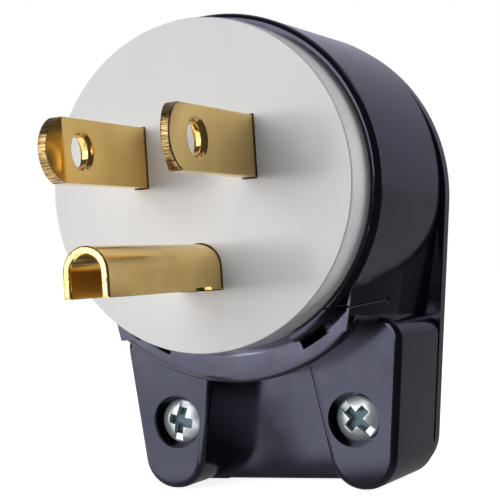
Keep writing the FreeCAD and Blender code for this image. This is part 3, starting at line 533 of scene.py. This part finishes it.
def plated_metal(name, rgb, roughness):
    """Plated steel with a crystalline bloom in its gloss. Roughness is its lowest and highest."""
    shader = Shader(name)
    shader.set(Metallic=1.0)
    bloom = shader.noise(BLOOM_SIZE, detail=4.0, roughness=0.6)
    darker = scaled(rgb, BLOOM_SHADE)
    shader.drive("Base Color", shader.blend(shader.spread(bloom, SPOTS), rgb, darker))
    shader.drive("Roughness", shader.spread(bloom, CLOUDS, roughness))
    turned = shader.noise(TURNING_SIZE, detail=2.0)
    shader.drive("Normal", shader.bump(turned, TURNING_DEPTH))
    return shader.material


MERGE_DISTANCE = 0.0005 * MM
FLAT_ANGLE = math.radians(0.4)
SHARP_ANGLE = math.radians(32)


def dress(node, material):
    """A finish on a CAD node."""
    piece = NODES[node]
    piece.data.materials.clear()
    piece.data.materials.append(material)


def merged_copy(node):
    """The form of a CAD node as a bmesh of whole flat faces."""
    source = NODES[node]
    shape = bmesh.new()
    shape.from_mesh(source.data)
    bmesh.ops.transform(shape, matrix=source.matrix_world, verts=shape.verts)
    bmesh.ops.remove_doubles(shape, verts=shape.verts, dist=MERGE_DISTANCE)
    bmesh.ops.dissolve_degenerate(shape, dist=MERGE_DISTANCE, edges=shape.edges)
    bmesh.ops.dissolve_limit(shape, angle_limit=FLAT_ANGLE, verts=shape.verts, edges=shape.edges)
    bmesh.ops.recalc_face_normals(shape, faces=shape.faces)
    return shape


def rounded_piece(node, material, width, segments=2):
    """A piece that stands for a CAD node: the same form with rounded sharp edges."""
    shape = merged_copy(node)
    mesh = bpy.data.meshes.new(node + "_rounded")
    for face in shape.faces:
        face.smooth = True
    shape.to_mesh(mesh)
    shape.free()
    for name in ("custom_normal", "sharp_edge", "sharp_face"):
        if name in mesh.attributes:
            mesh.attributes.remove(mesh.attributes[name])
    mesh.materials.append(material)
    piece = bpy.data.objects.new(node + "_rounded", mesh)
    bpy.context.scene.collection.objects.link(piece)
    edges = piece.modifiers.new("edges", "BEVEL")
    edges.width = width
    edges.segments = segments
    edges.limit_method = "ANGLE"
    edges.angle_limit = SHARP_ANGLE
    edges.use_clamp_overlap = True
    piece.modifiers.new("flat_faces", "WEIGHTED_NORMAL")
    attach(piece, ROOT)
    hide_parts(node)


class PLUG_OT_mouldings(bpy.types.Operator):
    """Finish the black housing and cover and the white mouldings"""

    bl_idname = "plug.mouldings"
    bl_label = "Mouldings"

    def execute(self, context):
        black = black_plastic()
        white = white_plastic()
        for node in ("front_housing", "back_cover"):
            dress(node, black)
        dress("terminal_block", white)
        disc_edge = context.scene.plug_sizes.disc_edge
        rounded_piece("face_body", white, disc_edge)
        return {"FINISHED"}


class PLUG_OT_pins(bpy.types.Operator):
    """Finish the two flat pins and the ground pin"""

    bl_idname = "plug.pins"
    bl_label = "Pins"

    def execute(self, context):
        sizes = context.scene.plug_sizes
        brass = pin_brass()
        for node in ("line_blade", "neutral_blade"):
            rounded_piece(node, brass, sizes.blade_edge, segments=3)
        rounded_piece("ground_pin", brass, sizes.arch_edge)
        return {"FINISHED"}


# The terminal screws: node, slot and material, colour, lowest and highest roughness
TERMINAL_SCREWS = (
    ("line_terminal_screw", "screw_brass", "brass", (0.2, 0.3)),
    ("neutral_terminal_screw", "screw_nickel", "nickel", (0.12, 0.22)),
    ("ground_terminal_screw", "screw_green", "green", (0.25, 0.4)),
)
ZINC_ROUGHNESS = (0.14, 0.30)


class PLUG_OT_fasteners(bpy.types.Operator):
    """Finish the screws, nuts and pressure plates"""

    bl_idname = "plug.fasteners"
    bl_label = "Fasteners"

    def execute(self, context):
        look = context.scene.plug_colours
        edge = context.scene.plug_sizes.screw_edge
        zinc = plated_metal("zinc_steel", look.zinc, ZINC_ROUGHNESS)
        clamp = clamp_zinc()
        for node in CLAMP_SCREWS:
            rounded_piece(node, clamp, edge)
        for node in CLAMP_NUTS + COVER_SCREWS:
            rounded_piece(node, zinc, edge)
        for node in RETAINER_SCREWS + PRESSURE_PLATES:
            dress(node, zinc)
        for node, slot, colour, roughness in TERMINAL_SCREWS:
            dress(node, plated_metal(slot, getattr(look, colour), roughness))
        return {"FINISHED"}


# The softboxes: angles in degrees, distance from the camera's aim and width in metres
Softbox = namedtuple("Softbox", "name azimuth elevation distance width")
KEY_LAMP = Softbox("key_lamp", azimuth=-24, elevation=13, distance=0.8, width=0.9)
FILL_LAMP = Softbox("fill_lamp", azimuth=149, elevation=8, distance=0.6, width=0.22)
GLOW_LAMP = Softbox("glow_lamp", azimuth=-26.5, elevation=1.5, distance=0.8, width=0.10)

FLOOR_GAP = 0.2 * MM
FLOOR_SIZE = 6.0
FLOOR_PAINT = (0.6, 0.6, 0.6)
# The floor is a little less than white to the camera near the plug, and white from some way off
FLOOR_GLOW_REACH = (0.06, 0.14)
FLOOR_GLOW = (0.88, 1.0)

# The floor as gloss shows it. An edge divides it in two: the sum of x and y in metres, each times
# its slope, is below start on the dark side and above end on the lit side.
Edge = namedtuple("Edge", "slope_x slope_y start end")
# The lit floor before the plug, with its end on the right
FRONT_EDGE = Edge(slope_x=-0.44, slope_y=-0.90, start=-0.006, end=0.006)
FRONT_END = Edge(slope_x=-1.0, slope_y=0.249, start=-0.0174, end=-0.0114)
# Its strength along x and along y: two places, and the factors there
FRONT_ALONG_X = ((-0.06, -0.005), (0.74, 1.22))
FRONT_ALONG_Y = ((-0.13, 0.0), (1.12, 0.86))
# A darker strip across it, which the recessed panel shows, and the part of the light that it takes
STRIP_LEFT = Edge(slope_x=1.0, slope_y=-0.51, start=-0.0155, end=-0.0130)
STRIP_RIGHT = Edge(slope_x=-1.0, slope_y=0.51, start=0.0062, end=0.0092)
STRIP_FAR = Edge(slope_x=0.0, slope_y=1.0, start=-0.085, end=-0.070)
STRIP_DEPTH = 0.85
# Faint light on all the floor left of a line, which gloss shows behind the plug
BACK_EDGE = Edge(slope_x=-1.0, slope_y=0.43, start=-0.0185, end=-0.0090)

# The room as gloss and metal show it, by the x and y of a direction: the backdrop's strength at two
# places, where it starts and ends from left to right, and where it starts from near to far
BACKDROP_ALONG_X = ((-0.35, 0.36), (0.43, 0.20))
BACKDROP_START = (-0.62, -0.48)
BACKDROP_END = (0.37, 0.45)
BACKDROP_NEAR = (0.1, 0.3)
# Where the brighter right side of the room starts and ends
ROOM_RIGHT_START = (0.46, 0.49)
ROOM_RIGHT_END = (0.62, 0.70)

SENSOR_WIDTH = 36.0
CLIP_START = 0.01
CLIP_END = 20.0


def towards(azimuth, elevation):
    """The direction from the plug to a place at these angles."""
    return Vector((math.sin(azimuth) * math.cos(elevation),
                   -math.cos(azimuth) * math.cos(elevation), math.sin(elevation)))


def softbox(box, radiance):
    """A square lamp that faces the plug. Radiance is the brightness a mirror would show."""
    lamp = bpy.data.lights.new(box.name, "AREA")
    lamp.shape = "RECTANGLE"
    lamp.size = box.width
    lamp.size_y = box.width
    lamp.energy = radiance * math.pi * box.width * box.width
    holder = bpy.data.objects.new(box.name, lamp)
    away = towards(math.radians(box.azimuth), math.radians(box.elevation))
    aim = Vector(bpy.context.scene.plug_studio.aim)
    holder.location = aim + away * box.distance
    holder.rotation_mode = "QUATERNION"
    holder.rotation_quaternion = (-away).to_track_quat("-Z", "Y")
    bpy.context.scene.collection.objects.link(holder)
    return holder


def shiny_ray(tree, path):
    """One for the rays that gloss, metal and glass send out, zero for others."""
    return tree.combine("MAXIMUM", path["Is Glossy Ray"], path["Is Transmission Ray"])


def floor_in_gloss(shader, axes):
    """The strength of the floor as gloss shows it."""
    studio = bpy.context.scene.plug_studio

    def side(edge, strength=1.0):
        """This strength on the lit side of an edge, zero on the dark side."""
        reach = shader.combine("ADD", shader.product(axes["X"], edge.slope_x),
                               shader.product(axes["Y"], edge.slope_y))
        return shader.spread(reach, (edge.start, edge.end), (0.0, strength))

    strip = shader.product(side(STRIP_LEFT), side(STRIP_RIGHT), side(STRIP_FAR, STRIP_DEPTH))
    front = shader.product(
        side(FRONT_EDGE, studio.floor_gloss), side(FRONT_END),
        shader.spread(axes["X"], *FRONT_ALONG_X), shader.spread(axes["Y"], *FRONT_ALONG_Y),
        shader.combine("SUBTRACT", 1.0, strip))
    lit = shader.combine("ADD", front, side(BACK_EDGE, studio.back_floor))
    return shader.combine("ADD", lit, studio.dim_room)


def pale_floor():
    """A pale floor that keeps the plug's shadow and is white to the camera where it is lit."""
    floor_z = CAD_BOX[0].z - FLOOR_GAP
    mesh = bpy.data.meshes.new("floor")
    plane = bmesh.new()
    bmesh.ops.create_grid(plane, x_segments=1, y_segments=1, size=FLOOR_SIZE / 2)
    bmesh.ops.translate(plane, vec=Vector((0, 0, floor_z)), verts=plane.verts)
    plane.to_mesh(mesh)
    plane.free()
    floor = bpy.data.objects.new("floor", mesh)
    bpy.context.scene.collection.objects.link(floor)
    shader = Shader("floor_paint")
    shader.set(Roughness=1.0, Specular_IOR_Level=0.0)
    shader.colour("Emission Color", WHITE)
    place = shader.place()
    away = shader.node("ShaderNodeVectorMath", operation="LENGTH")
    shader.links.new(place, away.inputs["Vector"])
    glow = shader.spread(away.outputs["Value"], FLOOR_GLOW_REACH, FLOOR_GLOW)
    path = shader.node("ShaderNodeLightPath").outputs
    shiny = shiny_ray(shader, path)
    shader.drive("Base Color", shader.blend(shiny, FLOOR_PAINT, BLACK))
    to_camera = shader.product(path["Is Camera Ray"], glow)
    to_gloss = shader.product(shiny, floor_in_gloss(shader, shader.split(place)))
    shader.drive("Emission Strength", shader.combine("ADD", to_camera, to_gloss))
    mesh.materials.append(shader.material)


def room():
    """White to the camera, dim to light, and a backdrop in a dark room to gloss and metal."""
    studio = bpy.context.scene.plug_studio
    world = bpy.data.worlds.new("room")
    bpy.context.scene.world = world
    world.use_nodes = True
    sky = NodeTree(world.node_tree)
    axes = sky.split(sky.node("ShaderNodeTexCoord").outputs["Generated"])
    behind = sky.spread(axes["Y"], BACKDROP_NEAR)
    backdrop = sky.spread(axes["X"], *BACKDROP_ALONG_X)
    kept = sky.product(sky.spread(axes["X"], BACKDROP_END, FADE_OUT),
                       sky.spread(axes["X"], BACKDROP_START),
                       sky.product(behind, studio.backdrop))
    right = sky.product(sky.spread(axes["X"], ROOM_RIGHT_START, (0.0, studio.right_room)),
                        sky.spread(axes["X"], ROOM_RIGHT_END, FADE_OUT))
    dim = sky.combine("MULTIPLY_ADD", right, behind, studio.dim_room)
    mirrored = sky.combine("MULTIPLY_ADD", backdrop, kept, dim)
    path = sky.node("ShaderNodeLightPath").outputs
    shiny = shiny_ray(sky, path)
    in_gloss = sky.product(shiny, sky.combine("SUBTRACT", mirrored, studio.ambient))
    seen = sky.combine("MULTIPLY_ADD", path["Is Camera Ray"], 1.0 - studio.ambient, studio.ambient)
    back = sky.nodes["Background"]
    sky.links.new(sky.blend(shiny, WHITE, studio.gloss_tint), back.inputs["Color"])
    sky.links.new(sky.combine("ADD", seen, in_gloss), back.inputs["Strength"])


def camera():
    """The camera at the photograph's angle."""
    studio = bpy.context.scene.plug_studio
    data = bpy.data.cameras.new("camera")
    data.sensor_width = SENSOR_WIDTH
    data.lens = studio.lens
    data.clip_start = CLIP_START
    data.clip_end = CLIP_END
    holder = bpy.data.objects.new("camera", data)
    away = towards(studio.azimuth, studio.elevation)
    holder.location = Vector(studio.aim) + away * studio.distance
    holder.rotation_mode = "QUATERNION"
    level = (-away).to_track_quat("-Z", "Y")
    holder.rotation_quaternion = level @ Quaternion((0, 0, 1), studio.roll)
    bpy.context.scene.collection.objects.link(holder)
    bpy.context.scene.camera = holder


class PLUG_OT_stage(bpy.types.Operator):
    """Set up the floor, the room, the lamps and the camera"""

    bl_idname = "plug.stage"
    bl_label = "Stage"

    def execute(self, context):
        studio = context.scene.plug_studio
        context.scene.view_settings.view_transform = "Standard"
        pale_floor()
        room()
        softbox(KEY_LAMP, studio.key_power)
        fill = softbox(FILL_LAMP, studio.fill_power)
        fill.visible_glossy = False
        softbox(GLOW_LAMP, studio.glow_power)
        camera()
        return {"FINISHED"}


class PLUG_PT_panel(bpy.types.Panel):
    """The plug's pieces and stage, in the order that they are made"""

    bl_idname = "PLUG_PT_panel"
    bl_label = "Plug"
    bl_space_type = "VIEW_3D"
    bl_region_type = "UI"
    bl_category = "Plug"

    def draw(self, context):
        for step in STEPS:
            self.layout.operator(step.bl_idname)


STEPS = (PLUG_OT_mouldings, PLUG_OT_pins, PLUG_OT_fasteners, PLUG_OT_stage)
GROUPS = (("plug_colours", PlugColours), ("plug_sizes", PlugSizes), ("plug_studio", PlugStudio))


def register():
    """Add the add-on's classes and its groups of properties."""
    for name, group in GROUPS:
        bpy.utils.register_class(group)
        setattr(bpy.types.Scene, name, bpy.props.PointerProperty(type=group))
    for step in STEPS:
        bpy.utils.register_class(step)
    bpy.utils.register_class(PLUG_PT_panel)


def unregister():
    """Take the add-on's classes and properties away again."""
    bpy.utils.unregister_class(PLUG_PT_panel)
    for step in reversed(STEPS):
        bpy.utils.unregister_class(step)
    for name, group in reversed(GROUPS):
        delattr(bpy.types.Scene, name)
        bpy.utils.unregister_class(group)


def main():
    """Make every piece in order."""
    register()
    bpy.ops.plug.mouldings()
    bpy.ops.plug.pins()
    bpy.ops.plug.fasteners()
    bpy.ops.plug.stage()


if __name__ == "__main__":
    main()
